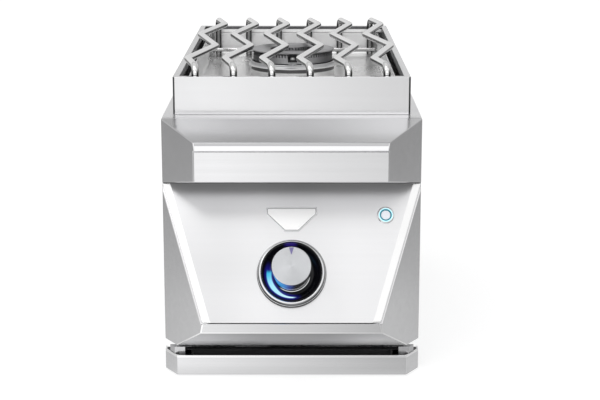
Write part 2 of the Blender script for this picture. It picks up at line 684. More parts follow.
# Plain six-sided plate with a dark line inside its rim
def makeBadge():
    s = badgeShape
    half, corner = s["halfWidth"], s["corner"]
    outline = [(-half, 0), (-half, -corner), (-corner, -s["height"]), (corner, -s["height"]), (half, -corner),
               (half, 0)]
    matrix = panelFrame("badge")

    # Moves every side of the six-sided outline inwards
    def insetRing(inset, height):
        points = []
        for i in range(len(outline)):
            here = Vector(outline[i])
            before = (here - Vector(outline[i - 1])).normalized()
            after = (Vector(outline[(i + 1) % len(outline)]) - here).normalized()
            inwardBefore = Vector((-before.y, before.x))
            inwardAfter = Vector((-after.y, after.x))
            bisector = (inwardBefore + inwardAfter).normalized()
            points.append(here + bisector * (inset / max(bisector.dot(inwardBefore), 0.2)))
        rounded = roundCorners(points, s["rounding"], 3)
        return [matrix @ Vector((p.x * mm, p.y * mm, height * mm)) for p in rounded]

    top = s["lift"] + s["thickness"]
    floor = top - s["lineDepth"]
    rim = s["rim"]
    groove = rim + s["line"]
    rows = ((0, s["lift"]), (0, top - s["soft"]), (s["soft"], top), (rim, top), (rim + s["lineSlant"], floor),
            (groove, floor), (groove + s["lineSlant"], top))
    piece = newObject("badgePlate", skinLoops([insetRing(*row) for row in rows]), panelEdge)
    toPlate = matrix.inverted()
    paintFaces(piece, blackPlastic, lambda face: abs((toPlate @ face.center).z / mm - floor) < 0.05
               and abs((toPlate.to_3x3() @ face.normal).z) > 0.9)
    paintFaces(piece, brightTrim, lambda face: len(face.vertices) == 4)
    finishEdges(piece, sharpAngle=30)
    register(piece, "housing", ("badge_plate",))


makeFascia()
makeControlPanel()
makeBadge()
refineNode("nose_plate", "nosePlate", brushedSteel, "housing", 0.5, 3)
print("fascia made")

hobShape = {
    "half": 152.0, "front": -221.376, "back": 348.624, "corner": 2.5, "foot": 332.8, "top": 381.5,
    "rim": 9.0, "rimLean": 0.9, "lip": 10.0, "sheet": 1.5, "seat": 24.0,
}


# A closed profile of (inset, height) pairs carried round the box's rounded plan
def boxSweep(shape, profile):
    loops = [roundedRectangle(shape["half"] - inset, shape["front"] + inset, shape["back"] - inset,
                              shape["corner"] - inset, height) for inset, height in profile]
    return skinLoops(loops, closed=True)


def makeHobSurround():
    s = hobShape
    t, foot, top, rim = s["sheet"], s["foot"], s["top"], s["rim"]
    lean = rim - s["rimLean"]
    waist = top - s["lip"] / 2
    lipFoot = top - s["lip"]
    profile = [(0, foot), (0, top), (rim - 0.5, top), (lean, waist), (rim, lipFoot), (rim - t, lipFoot),
               (lean - t, waist), (lean - t, top - t), (t, top - t), (t, foot + t), (s["seat"], foot + t),
               (s["seat"], foot)]
    radii = [0.3, 0.9, 0.8, 0.4, 0.4, 0.4, 0.4, 0.5, 0.5, 0.5, 0.4, 0.4]
    piece = newObject("hobSurround", boxSweep(s, roundCorners(profile, radii, 5)), boxSteel)
    finishEdges(piece, sharpAngle=50)

    def outside(face):
        place = face.center / mm
        return abs(place.x) > s["half"] - 1.2 or place.y < s["front"] + 1.2 or place.y > s["back"] - 1.2

    def upright(face):
        return abs(face.normal.z) < 0.5

    # Finished apart: the plan's corners, the rim's dark inner side, and the lower half of that at the back
    def onCorner(face):
        return outside(face) and upright(face) and 0.15 < abs(face.normal.x) < 0.99

    def onSlot(face):
        place = face.center / mm
        return not outside(face) and upright(face) and (place.y < s["back"] - 12 or place.z > waist)

    def onWall(face):
        return not outside(face) and face.normal.y < -0.5 and lipFoot < face.center.z / mm <= waist

    paintFaces(piece, edgeSteel, onCorner)
    paintFaces(piece, slotSteel, onSlot)
    paintFaces(piece, wallSteel, onWall)
    register(piece, "housing", ("hob_surround",))


panShape = {
    "half": 137.0, "front": -212.076, "back": 339.324, "corner": 10.0, "under": 334.6, "floor": 336.1,
    "wallTop": 371.1, "sheet": 1.5, "fillet": 5.0, "floorBand": 30.0, "hole": 62.0,
}


def makePan():
    s = panShape
    t = s["sheet"]
    inner = s["floorBand"] + t * 3
    profile = [(inner, s["floor"]), (t, s["floor"]), (t, s["wallTop"]), (0, s["wallTop"]), (0, s["under"]),
               (inner, s["under"])]
    line = roundCorners(profile, [0, s["fillet"], 0.5, 0.5, s["fillet"] + t, 0], 6, closed=False)
    loops = [roundedRectangle(s["half"] - p.x, s["front"] + p.x, s["back"] - p.x, max(s["corner"] - p.x, 1.0),
                              p.y, 8) for p in line]
    arc = len(loops[0]) // 4

    # Points round the hole, in step with the corner points of the pan's plan
    def holeLoop(height):
        angles = [(quarter + (i + 0.5) / arc) * pi / 2 for quarter in range(4) for i in range(arc)]
        return [Vector((s["hole"] * cos(angle) * mm, (burnerY + s["hole"] * sin(angle)) * mm, height * mm))
                for angle in angles]

    loops = [holeLoop(s["floor"]), *loops, holeLoop(s["under"])]
    piece = finishPiece("burnerPan", skinLoops(loops, closed=True), panSteel, "housing",
                        ("burner_pan", "pan_wall"), sharpAngle=50)
    paintFaces(piece, wallSteel, lambda face: abs(face.normal.z) < 0.3)


# A turned piece from (radius, height, rounding) rows, finished and registered
def turnPiece(name, profile, matrix, material, node, segments=96, ring=False, steps=4, sharpAngle=50,
              body="housing"):
    bm = turnedMesh(profile, matrix, segments, ring, steps)
    return finishPiece(name, bm, material, body, (node,), sharpAngle=sharpAngle)


seatShape = {"foot": 336.4, "footRadius": 68.0, "hem": 1.5, "top": 357.7, "topRadius": 60.0, "mouth": 53.0,
             "sheet": 1.5,
             # The flared side, outside and inside
             "outer": ((63.5, 339.5, 8), (61, 347, 12)), "inner": ((59.5, 346.6, 12), (62.2, 338.7, 8))}


def makeBurnerSeat():
    s = seatShape
    under = s["top"] - s["sheet"]
    profile = [(s["footRadius"] - s["hem"], s["foot"], 0.4), (s["footRadius"], s["foot"], 0.4), *s["outer"],
               (s["topRadius"], s["top"], 1.0), (s["mouth"], s["top"], 0.5), (s["mouth"], under, 0.5),
               (s["topRadius"] - 1.4, under, 0.8), *s["inner"]]
    turnPiece("burnerSeat", profile, burnerFrame, seatSteel, "burner_seat", ring=True, steps=6)


makeHobSurround()
makePan()
makeBurnerSeat()
refineNode("counter_flange", "counterFlange", flangeSteel, "housing", 0.35)
print("box and pan made")

capMetal = spunMetal("capMetal", (0.44, 0.44, 0.45), burnerFrame.translation, 0, 0.34, 0.46,
                     0.0007, 0.12, 0.3)

burnerShape = {
    "stepFoot": 359.9, "baseTop": 364.4, "baseUnder": 357.9, "baseRadius": 64.0, "stepRadius": 60.5,
    "neckFoot": 302.4, "neckRadius": 50.0, "outerRadius": 57.5, "outerInner": 40.5, "outerTop": 377.6,
    "outerFoot": 364.7, "outerPorts": 84, "innerRadius": 21.0, "innerTop": 384.0, "innerPorts": 30,
    "portDepth": 3.6, "capFoot": 378.0, "capEdge": 379.8, "capTop": 381.5, "capRadius": 60.0, "capWell": 32.5,
    "innerCapFoot": 384.2, "innerCapRadius": 22.5, "innerCapTop": 385.6, "crown": 387.4, "crownRadius": 14.0,
    "outerTooth": (9.0, 2.5), "innerTooth": (7.0, 2.3), "toothInset": 0.1,
    "hornAcross": 24.0, "hornReach": 84.0, "hornHeight": 316.9, "hornLength": 60.0, "hornBore": 8.0,
    "hornRadius": 13.0,
}


# Teeth between the gas ports: blocks set round a circle on top of a turned head
def makePortTree():
    inputs = (("Geometry", "Geometry"), ("Count", "Int"), ("Radius", "Float"), ("Length", "Float"),
              ("Width", "Float"), ("Height", "Float"), ("Top", "Float"), ("CentreY", "Float"),
              ("Material", "Material"))
    tree, into, out = newTree("GeometryNodeTree", "portTeeth", inputs, ("Geometry",), "Geometry")
    circle = addNode(tree, "GeometryNodeMeshCircle", {"Vertices": into["Count"], "Radius": into["Radius"]})
    size = joined(tree, into["Length"], into["Width"], into["Height"])
    block = addNode(tree, "GeometryNodeMeshCube", {"Size": size})
    share = calc(tree, "DIVIDE", tree.nodes.new("GeometryNodeInputIndex"), into["Count"])
    turn = joined(tree, z=times(tree, share, 2 * pi))
    placed = addNode(tree, "GeometryNodeInstanceOnPoints",
                     {"Points": circle, "Instance": block, "Rotation": turn})
    spot = joined(tree, y=into["CentreY"], z=scaled(tree, into["Height"], -0.5, into["Top"]))
    moved = addNode(tree, "GeometryNodeTranslateInstances",
                    {"Instances": placed, "Translation": spot, "Local Space": False})
    both = addNode(tree, "GeometryNodeJoinGeometry", {0: into["Geometry"]})
    feed(tree, both, {0: moved})
    return endTree(tree, both, into["Material"], out)


portTree = makePortTree()


def fromBurnerAxis(face):
    return (face.center.xy - Vector((0, burnerY * mm))).length / mm


# A ported head: a turned body with teeth of (length, width) between its ports
def makeHead(name, body, count, radius, tooth, top, node):
    piece = newObject(name, body, burnerCasting)
    runTree(piece, portTree, {
        "Count": count, "Radius": (radius - tooth[0] / 2 - burnerShape["toothInset"]) * mm,
        "Length": tooth[0] * mm, "Width": tooth[1] * mm, "Height": burnerShape["portDepth"] * mm,
        "Top": top * mm, "CentreY": burnerY * mm, "Material": burnerCasting})
    finishEdges(piece, sharpAngle=40)
    return register(piece, "housing", (node,))


def makeHeads():
    s = burnerShape
    foot, radius, well = s["outerFoot"], s["outerRadius"], s["outerInner"]
    floor = s["outerTop"] - s["portDepth"]
    outer = [(well, foot, 0.5), (radius - 0.9, foot, 0.4), (radius, foot + 0.9, 0.4), (radius, floor, 0.3),
             (well, floor, 0.3)]
    piece = makeHead("outerBurnerHead", turnedMesh(outer, burnerFrame, 96, True, 3), s["outerPorts"], radius,
                     s["outerTooth"], s["outerTop"], "outer_burner_head")

    # Soot gathers inside the ring and on the floor between the ports
    def sooty(face):
        onFloor = face.normal.z > 0.5 and abs(face.center.z / mm - floor + 0.1) < 0.4
        return fromBurnerAxis(face) < well + 1 or onFloor

    paintFaces(piece, sootMetal, sooty)
    radius = s["innerRadius"]
    floor = s["innerTop"] - s["portDepth"]
    inner = latheMesh([(0, foot), (radius, foot), (radius, floor), (0, floor)], burnerFrame, 72)
    makeHead("innerBurnerHead", inner, s["innerPorts"], radius, s["innerTooth"], s["innerTop"],
             "inner_burner_head")


def makeCaps():
    s = burnerShape
    well, radius, top, edge = s["capWell"], s["capRadius"], s["capTop"], s["capEdge"]
    outer = [(well, s["capFoot"], 0.4), (s["outerRadius"] - 4, s["capFoot"], 0.3),
             (s["outerRadius"] - 3, edge, 0.5), (radius, edge, 0.3), (radius, top - 0.3, 0.4),
             (radius - 1.2, top, 0.6), (well, top, 1.2)]
    turnPiece("outerBurnerCap", outer, burnerFrame, capMetal, "outer_burner_cap", 128, True, 5)
    radius = s["innerCapRadius"]
    inner = [(0, s["innerCapFoot"], 0), (radius, s["innerCapFoot"], 0.5), (radius, s["innerCapTop"], 0.9),
             (s["crownRadius"], s["crown"] - 0.2, 12), (0, s["crown"], 0)]
    turnPiece("innerBurnerCap", inner, burnerFrame, capMetal, "inner_burner_cap", steps=6)


# Stepped flange on a neck, with the two mixing horns open to the front
def makeBurnerBase():
    s = burnerShape
    neck, radius, step = s["neckRadius"], s["baseRadius"], s["stepRadius"]
    profile = [(0, s["neckFoot"], 0), (neck, s["neckFoot"], 3), (neck, s["baseUnder"], 1.5),
               (radius, s["baseUnder"], 0.8), (radius, s["stepFoot"], 0.9), (step, s["stepFoot"], 1.6),
               (step, s["baseTop"], 1.0), (0, s["baseTop"], 0)]
    piece = newObject("burnerBase", turnedMesh(profile, burnerFrame), ringSteel)
    bore, wall, length = s["hornBore"], s["hornRadius"], s["hornLength"]
    horn = [(bore, 0, 0.8), (wall, 0, 1.5), (wall, length, 0.3), (bore, length, 0.3)]
    horns = []
    for side in (-1, 1):
        spot = Vector((side * s["hornAcross"], burnerY - s["hornReach"], s["hornHeight"])) * mm
        mouth = Matrix.Translation(spot) @ Matrix.Rotation(-pi / 2, 4, "X")
        horns.append(newObject("horn", turnedMesh(horn, mouth, 48, True, 3), ringSteel))
    combineWith(piece, "UNION", horns)
    finishEdges(piece)
    paintFaces(piece, sootMetal, lambda face: fromBurnerAxis(face) < neck
               and face.center.z / mm > s["baseTop"] - 0.3)
    paintFaces(piece, wornEdge, lambda face: fromBurnerAxis(face) > radius - 1.2 and face.normal.z > -0.3)
    register(piece, "housing", ("burner_base",))


# Dark cowl round the spark electrode, open towards the front
igniterShape = {"cowlFoot": 369.4, "sill": 372.8, "lintel": 1.5, "post": 2.6, "spread": 0.6, "depth": 1.2,
                "bevel": 0.15, "tipRadius": 3.2, "stemRadius": 2.2, "tipFoot": 372.2, "tipTop": 376.9}


def makeCowl():
    s = igniterShape
    low, high = (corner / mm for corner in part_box("ignition_shield"))
    left, right = low.x - s["spread"], high.x + s["spread"]
    foot, sill, post, head = s["cowlFoot"], s["sill"], s["post"], high.z - s["lintel"]
    outline = ((left, foot), (right, foot), (right, high.z), (left, high.z),
               (left + post, sill), (right - post, sill), (right - post, head), (left + post, head))
    ring = bmesh.new()
    front, back = [], []
    for x, z in outline:
        front.append(ring.verts.new(Vector((x, low.y, z)) * mm))
        back.append(ring.verts.new(Vector((x, low.y + s["depth"], z)) * mm))
    for i in range(4):
        j = (i + 1) % 4
        for row in (front, back):
            ring.faces.new((row[i], row[j], row[4 + j], row[4 + i]))
        for over in (0, 4):
            ring.faces.new((front[over + i], front[over + j], back[over + j], back[over + i]))
    bmesh.ops.recalc_face_normals(ring, faces=ring.faces)
    bmesh.ops.bevel(ring, geom=list(ring.edges), offset=s["bevel"] * mm, segments=2, profile=0.5,
                    affect="EDGES")
    piece = refineNode("ignition_shield", "ignitionShield", sootMetal, "housing", 0.2)
    whole = bmesh.new()
    whole.from_mesh(piece.data)
    bmesh.ops.bisect_plane(whole, geom=[*whole.verts, *whole.edges, *whole.faces],
                           plane_co=(0, 0, foot * mm), plane_no=(0, 0, 1))
    joinMeshes(whole, ring)
    whole.to_mesh(piece.data)
    whole.free()
    paintFaces(piece, burnerCasting, lambda face: face.center.z / mm < foot - 0.05)


def makeSparkTip():
    s = igniterShape
    low, high = (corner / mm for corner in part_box("ignition_electrode"))
    axis = Matrix.Translation(Vector((low.x + high.x, low.y + high.y, 0)) / 2 * mm)
    stem, tip, foot, top = s["stemRadius"], s["tipRadius"], s["tipFoot"], s["tipTop"]
    profile = [(0, low.z, 0), (stem, low.z, 0.2), (stem, foot - 0.3, 0.2), (tip, foot, 0.3), (tip, top, 0.8),
               (0, top, 0)]
    piece = turnPiece("sparkElectrode", profile, axis, glazed, "ignition_electrode", 40,
                      sharpAngle=40)
    paintFaces(piece, burnerCasting, lambda face: face.center.z / mm < foot - 0.1)


makeHeads()
makeCaps()
makeBurnerBase()
makeCowl()
makeSparkTip()
print("burner made")

grateShape = {
    "rodRadius": 4.75, "rods": 6, "pitch": 49.3, "bends": 4, "front": -203.026, "back": 330.274,
    "foot": 336.4, "height": 392.9, "sway": 15.0, "legSway": 1.0, "bendRadius": 7.0, "shoulderRadius": 10.0,
    "rearRise": 4.0, "filletSteps": 10, "rodSides": 28,
}


# Zigzag rods: a line of corners set by rule, rounded, swept and repeated
def makeGrateTree():
    lengths = ("front", "back", "foot", "height", "sway", "legSway", "bendRadius", "shoulderRadius",
               "rodRadius", "pitch")
    inputs = [("bends", "Int"), ("rods", "Int"), ("material", "Material")]
    inputs += [(label, "Float") for label in lengths]
    tree, into, out = newTree("GeometryNodeTree", "zigzagGrate", inputs, ("Geometry",), "Geometry")
    index = tree.nodes.new("GeometryNodeInputIndex")
    line = addNode(tree, "GeometryNodeMeshLine", {"Count": calc(tree, "ADD", into["bends"], 4.0)})
    lastBend = calc(tree, "ADD", into["bends"], 1.0)
    step = calc(tree, "MINIMUM", calc(tree, "MAXIMUM", minus(tree, index, 1.0), 0.0), lastBend)
    along = calc(tree, "DIVIDE", minus(tree, step, 0.5), into["bends"], clamp=True)
    y = scaled(tree, along, minus(tree, into["back"], into["front"]), into["front"])
    atStart = calc(tree, "LESS_THAN", step, 0.5)
    atEnd = calc(tree, "GREATER_THAN", step, minus(tree, lastBend, 0.5))
    isBend = minus(tree, minus(tree, 1.0, atStart), atEnd)
    flip = scaled(tree, calc(tree, "MODULO", step, 2.0), -2.0, 1.0)
    x = calc(tree, "ADD", times(tree, flip, into["sway"], isBend),
             times(tree, minus(tree, atEnd, atStart), into["legSway"]))
    firstPoint = calc(tree, "LESS_THAN", index, 0.5)
    lastPoint = calc(tree, "GREATER_THAN", index, calc(tree, "ADD", into["bends"], 2.5))
    isFoot = calc(tree, "ADD", firstPoint, lastPoint)
    z = scaled(tree, isFoot, minus(tree, into["foot"], into["height"]), into["height"])
    shaped = addNode(tree, "GeometryNodeSetPosition", {"Geometry": line, "Position": joined(tree, x, y, z)})
    curve = addNode(tree, "GeometryNodeMeshToCurve", {0: shaped})
    spread = minus(tree, into["bendRadius"], into["shoulderRadius"])
    radius = scaled(tree, isBend, spread, into["shoulderRadius"])
    fillet = addNode(tree, "GeometryNodeFilletCurve",
                     {"Curve": curve, "Radius": radius, "Count": grateShape["filletSteps"]}, mode="POLY")
    section = addNode(tree, "GeometryNodeCurvePrimitiveCircle",
                      {"Resolution": grateShape["rodSides"], "Radius": into["rodRadius"]})
    rod = addNode(tree, "GeometryNodeCurveToMesh",
                  {"Curve": fillet, "Profile Curve": section, "Fill Caps": True})
    shade = addNode(tree, "GeometryNodeSetShadeSmooth", {"Geometry": rod})
    start = joined(tree, x=times(tree, minus(tree, into["rods"], 1.0), into["pitch"], -0.5))
    places = addNode(tree, "GeometryNodeMeshLine", {"Count": into["rods"], "Start Location": start,
                                                    "Offset": joined(tree, x=into["pitch"])})
    copies = addNode(tree, "GeometryNodeInstanceOnPoints", {"Points": places, "Instance": shade})
    return endTree(tree, copies, into["material"], out)


def makeGrate():
    s = grateShape
    seed = bmesh.new()
    seed.verts.new((0, 0, 0))
    piece = newObject("zigzagRods", seed, rodSteel)
    lengths = {label: value * mm for label, value in s.items() if isinstance(value, float)}
    runTree(piece, makeGrateTree(), {**lengths, "bends": s["bends"], "rods": s["rods"], "material": rodSteel})
    piece.data.set_sharp_from_angle(angle=radians(50))
    register(piece, "grate", tuple(f"grate_rod_{i}" for i in range(1, s["rods"] + 1)))
    for node, name, rise in (("front_cross_rod", "frontCrossRod", 0.0),
                             ("rear_cross_rod", "rearCrossRod", s["rearRise"])):
        low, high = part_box(node)
        radius = (high.z - low.z) / 2 / mm
        half = (high.x - low.x) / 2 / mm
        middle = (low + high) / 2 + Vector((0, 0, rise)) * mm
        matrix = Matrix.Translation(middle) @ Matrix.Rotation(pi / 2, 4, "Y")
        profile = [(0, -half, 0), (radius, -half, 0.8), (radius, half, 0.8), (0, half, 0)]
        turnPiece(name, profile, matrix, rodSteel, node, 32, steps=3, body="grate")


makeGrate()
print("grate made")

knobPlace = tuple(knobFrame.translation)
buttonPlace = tuple(buttonFrame.translation)
knobMetal = spunMetal("knobMetal", (0.66, 0.67, 0.69), knobPlace, panelLean, 0.2, 0.26, 0.0003, 0.06, 0.18)

knobShape = {
    "baseRadius": 22.5, "faceRadius": 25.0, "foot": 6.1, "bodyTop": 43.0, "faceFoot": 43.3, "faceTop": 44.49,
    "edge": 0.9, "stemBore": 4.3, "stemDepth": 20.0, "pointerLength": 9.5, "pointerWidth": 6.0,
    "pointerSeat": 0.6, "pointerGap": 0.25, "pointerLift": 0.2, "pointerRounding": 0.5,
}


# Polar place over the panel round the knob: radius in m, angle, height in m
def knobPolar(tree, coords):
    placed = centred(tree, coords, knobPlace, panelLean)
    polar = placeGroup(tree, spunRings, {"Vector": placed})
    return polar["Radius"], polar["Angle"], axes(tree, placed)[2]


def angleFrom(tree, angle, degrees):
    return calc(tree, "WRAP", minus(tree, angle, radians(degrees)), pi, -pi)


# A share that rises or falls between two angles in degrees
def sector(tree, angle, low, high):
    return smooth(tree, angle, radians(low), radians(high))


lampSide = -128  # the knob's lamp shines from the lower left


# Gloss black with the lamp's crescent on it, low on the left, and its deep blue halo
def makeLampedBlack(name, arcShare):
    material, tree, shader, coords = newMaterial(name, {"Specular IOR Level": 0.35, "Emission Strength": 1.0})
    radius, angle, height = knobPolar(tree, coords)
    mask = handled(tree, shader, coords, 60.0, 0.1, 0.16)
    around = angleFrom(tree, angle, lampSide)
    middle = scaled(tree, around, 0.0019, 0.0299)
    half = calc(tree, "MINIMUM", scaled(tree, around, -0.0023, 0.00265), 0.0031)
    offset = calc(tree, "ABSOLUTE", minus(tree, radius, middle))
    band = smooth(tree, calc(tree, "DIVIDE", offset, half), 1.2, 0.7)
    core = times(tree, band, sector(tree, around, -62, -50), sector(tree, around, 52, 40))
    halo = times(tree, smooth(tree, minus(tree, offset, half), 0.0042, 0.0), sector(tree, around, -84, -52),
                 sector(tree, around, 64, 38))
    begin = mixColour(tree, sector(tree, around, -56, -15), (0.05, 0.52, 0.79), (0.4, 0.82, 1.0))
    bright = mixColour(tree, sector(tree, around, -15, 25), begin, (0.58, 0.88, 1.0))
    lit = mixColour(tree, core, (0.011, 0.009, 0.21), bright)
    colour = mixColour(tree, calc(tree, "MAXIMUM", halo, core), (0, 0, 0), lit)
    crown = calc(tree, "ABSOLUTE", angleFrom(tree, angle, 92))
    patch = times(tree, sector(tree, crown, 17, 4), smooth(tree, radius, 0.033, 0.035))
    colour = mixColour(tree, patch, colour, (0.016, 0.008, 0.13))
    bow = calc(tree, "ABSOLUTE", angleFrom(tree, angle, -70))
    arc = times(tree, smooth(tree, radius, 0.02285, 0.0231), smooth(tree, radius, 0.0239, 0.0236),
                sector(tree, bow, 62, 46), arcShare)
    colour = mixColour(tree, arc, colour, (0.85, 0.86, 0.87))
    dark = mixColour(tree, mask, (0.004, 0.004, 0.006), (0.007, 0.007, 0.01))
    feed(tree, shader, {"Emission Color": colour, "Base Color": dark})
    return material


# The knob's dark polished side, lit blue by the lamp on the lower left
def makeKnobSide():
    material, tree, shader, coords = newMaterial(
        "knobSide", {"Specular IOR Level": 0.5, "Emission Strength": 1.0})
    radius, angle, height = knobPolar(tree, coords)
    mask = handled(tree, shader, coords, 60.0, 0.12, 0.2)
    around = calc(tree, "ABSOLUTE", angleFrom(tree, angle, lampSide))
    deep = mixColour(tree, sector(tree, around, 34, 8), (0.012, 0.04, 0.28), (0.006, 0.2, 0.5))
    lit = mixColour(tree, sector(tree, around, 52, 22), (0.0, 0.0, 0.0), deep)
    dark = mixColour(tree, mask, (0.01, 0.01, 0.012), (0.016, 0.016, 0.02))
    feed(tree, shader, {"Emission Color": lit, "Base Color": dark})
    return material


# Grey levels of the bezel's wall, from its foot (0) to its front (1)
bezelBands = ((0.0, 0.03), (0.06, 0.04), (0.34, 0.05), (0.38, 0.9), (0.52, 0.9), (0.56, 0.05), (0.64, 0.12),
              (0.8, 0.4), (0.86, 0.1), (0.93, 0.85), (1.0, 1.0))


# Chrome of the bezel: dark turned grooves in its wall and a bright front ring
def makeBezelChrome():
    material, tree, shader, coords = newMaterial("bezelChrome", {"Metallic": 1.0})
    radius, angle, height = knobPolar(tree, coords)
    handled(tree, shader, coords, 50.0, 0.07, 0.13)
    wallHeight = bezelShape["height"] * mm
    ramp = addNode(tree, "ShaderNodeMapRange", {0: height, 1: 0.0, 2: wallHeight, 3: 0.0, 4: 1.0})
    bands = addNode(tree, "ShaderNodeValToRGB", {0: ramp})
    elements = bands.color_ramp.elements
    while len(elements) < len(bezelBands):
        elements.new(0.5)
    for element, (place, level) in zip(elements, bezelBands):
        element.position = place
        element.color = (level, level, level, 1)
    right = sector(tree, calc(tree, "ABSOLUTE", angleFrom(tree, angle, -5)), 80, 25)
    left = sector(tree, calc(tree, "ABSOLUTE", angleFrom(tree, angle, -160)), 72, 40)
    edges = calc(tree, "MAXIMUM", right, times(tree, left, 1.45))
    line = times(tree, smooth(tree, height, 0.0042, 0.0046), smooth(tree, height, 0.0066, 0.0062))
    wall = smooth(tree, height, 0.0108, 0.0104)
    dim = times(tree, edges, minus(tree, 1.0, line), wall, -0.6)
    level = times(tree, bands, calc(tree, "ADD", dim, 1.0))
    groove = times(tree, smooth(tree, radius, 0.0394, 0.0396), smooth(tree, radius, 0.0404, 0.0402))
    crown = sector(tree, calc(tree, "ABSOLUTE", angleFrom(tree, angle, 88)), 80, 30)
    shaded = scaled(tree, times(tree, crown, -0.62), calc(tree, "ADD", groove, 0.35), 1.0)
    feed(tree, shader, {"Base Color": tinted(tree, (0.93, 0.94, 0.95), times(tree, level, shaded))})
    return material


# The push-button's lamp: a teal ring inside a paler one
def makeRingLight():
    material, tree, shader, coords = newMaterial("cyanLight", {"Emission Strength": 1.0})
    placed = centred(tree, coords, buttonPlace, panelLean)
    radius = placeGroup(tree, spunRings, {"Vector": placed})["Radius"]
    handled(tree, shader, coords, 60.0, 0.2, 0.3)
    outer = smooth(tree, radius, 0.0075, 0.0079)
    feed(tree, shader, {"Emission Color": mixColour(tree, outer, (0.002, 0.085, 0.13), (0.3, 0.62, 0.7)),
                        "Base Color": mixColour(tree, outer, (0.01, 0.16, 0.2), (0.6, 0.88, 0.92))})
    return material


def pointerOutline(grow):
    s = knobShape
    top = s["faceRadius"] - s["edge"] * 2
    half = s["pointerWidth"] / 2
    return [(-half - grow, top + grow), (0, top - s["pointerLength"] - grow * 2), (half + grow, top + grow)]


# The pointer's three-sided prism between two heights over the panel
def pointerPrism(grow, low, high):
    outline = roundCorners(pointerOutline(grow), knobShape["pointerRounding"], 3)
    return skinLoops([[knobFrame @ Vector((p.x * mm, p.y * mm, z * mm)) for p in outline]
                      for z in (low, high)])


def makeKnob():
    s = knobShape
    edge, bore, foot, top, radius = s["edge"], s["stemBore"], s["foot"], s["bodyTop"], s["faceRadius"]
    boreTop = foot + s["stemDepth"]
    body = [(bore, foot), (s["baseRadius"], foot), (radius, top), (0, top), (0, boreTop), (bore, boreTop)]
    line = roundCorners(body, [0.4, edge, edge, 0, 0, 0.3], 4, False)
    line.append(line[0])  # the bore's wall, from its top back to its mouth
    finishPiece("knobBody", latheMesh(line, knobFrame, 128), knobSide, "knob", ("knob_body",),
                sharpAngle=50)
    rim = radius - edge
    face = [(0, s["faceFoot"], 0), (rim, s["faceFoot"], 0.15), (rim, s["faceTop"], 0.6), (0, s["faceTop"], 0)]
    piece = newObject("knobFace", turnedMesh(face, knobFrame, 128), knobMetal)
    seat = s["faceFoot"] + s["pointerSeat"]
    cutter = newObject("cutter", pointerPrism(s["pointerGap"], seat, s["faceTop"] + 3), knobMetal)
    combineWith(piece, "DIFFERENCE", [cutter])
    finishEdges(piece, sharpAngle=30)
    register(piece, "knob", ("knob_face",))
    finishPiece("knobPointer", pointerPrism(0.0, seat + s["pointerLift"], s["faceTop"]), pointerBlue, "knob",
                ("knob_pointer",), 0.15, sharpAngle=30)


bezelShape = {
    "radius": 43.75, "frontRadius": 40.4, "openingRadius": 38.0, "height": 12.0, "foot": 0.3,
    "grooveFoot": 3.6, "grooveTop": 4.6, "grooveDepth": 1.3, "shoulder": 0.8, "shoulderHeight": 5.2,
    "dishFloor": 1.5, "dishFloorRadius": 30.0, "dishWall": 1.2, "dishGap": 0.3, "lipDrop": 1.8,
    "ringInner": 22.8, "ringWidth": 5.0, "ringHeight": 1.4, "ringGap": 0.3,
}


def makeBezel():
    s = bezelShape
    foot, top, radius, opening = s["foot"], s["height"], s["radius"], s["openingRadius"]
    groove = radius - s["grooveDepth"]
    ring = [(opening, foot, 0.3), (radius, foot, 0.5), (radius - 0.3, s["grooveFoot"] - 0.6, 0.4),
            (groove, s["grooveFoot"], 0.3), (groove, s["grooveTop"], 0.3),
            (radius - s["shoulder"], s["shoulderHeight"], 0.5), (s["frontRadius"], top, 1.2),
            (opening, top, 1.0)]
    turnPiece("knobBezel", ring, knobFrame, bezelChrome, "knob_bezel", 144, True, 4, 60)
    outer = opening - s["dishGap"]
    lip = top - s["lipDrop"]
    mouth = openingShape["knob"]
    wall, floor, floorRadius = s["dishWall"], s["dishFloor"], s["dishFloorRadius"]
    dish = [(mouth, foot, 0.2), (floorRadius, foot, 2), (outer, lip - wall, 0.3), (outer, lip, 0.3),
            (outer - wall, lip, 0.5), (floorRadius - wall, floor, 3), (mouth, floor, 0.2)]
    turnPiece("bezelDish", dish, knobFrame, blackGloss, "bezel_dish", 144, True, 5, 60)
    low = floor + s["ringGap"]
    inner, wide, high = s["ringInner"], s["ringInner"] + s["ringWidth"], low + s["ringHeight"]
    lamp = [(inner, low, 0.4), (wide, low, 0.4), (wide, high, 0.4), (inner, high, 0.4)]
    turnPiece("bezelLightRing", lamp, knobFrame, blueLight, "bezel_light_ring",
              128, True, 3, 60)


buttonShape = {
    "rimRadius": 10.9, "rimTop": 2.7, "tubeRadius": 8.0, "tubeFoot": -24.0, "bore": 6.0, "boreFoot": -10.6,
    "ringInner": 6.1, "ringOuter": 8.6, "ringFoot": 1.7, "radius": 5.8, "foot": -6.3,
}


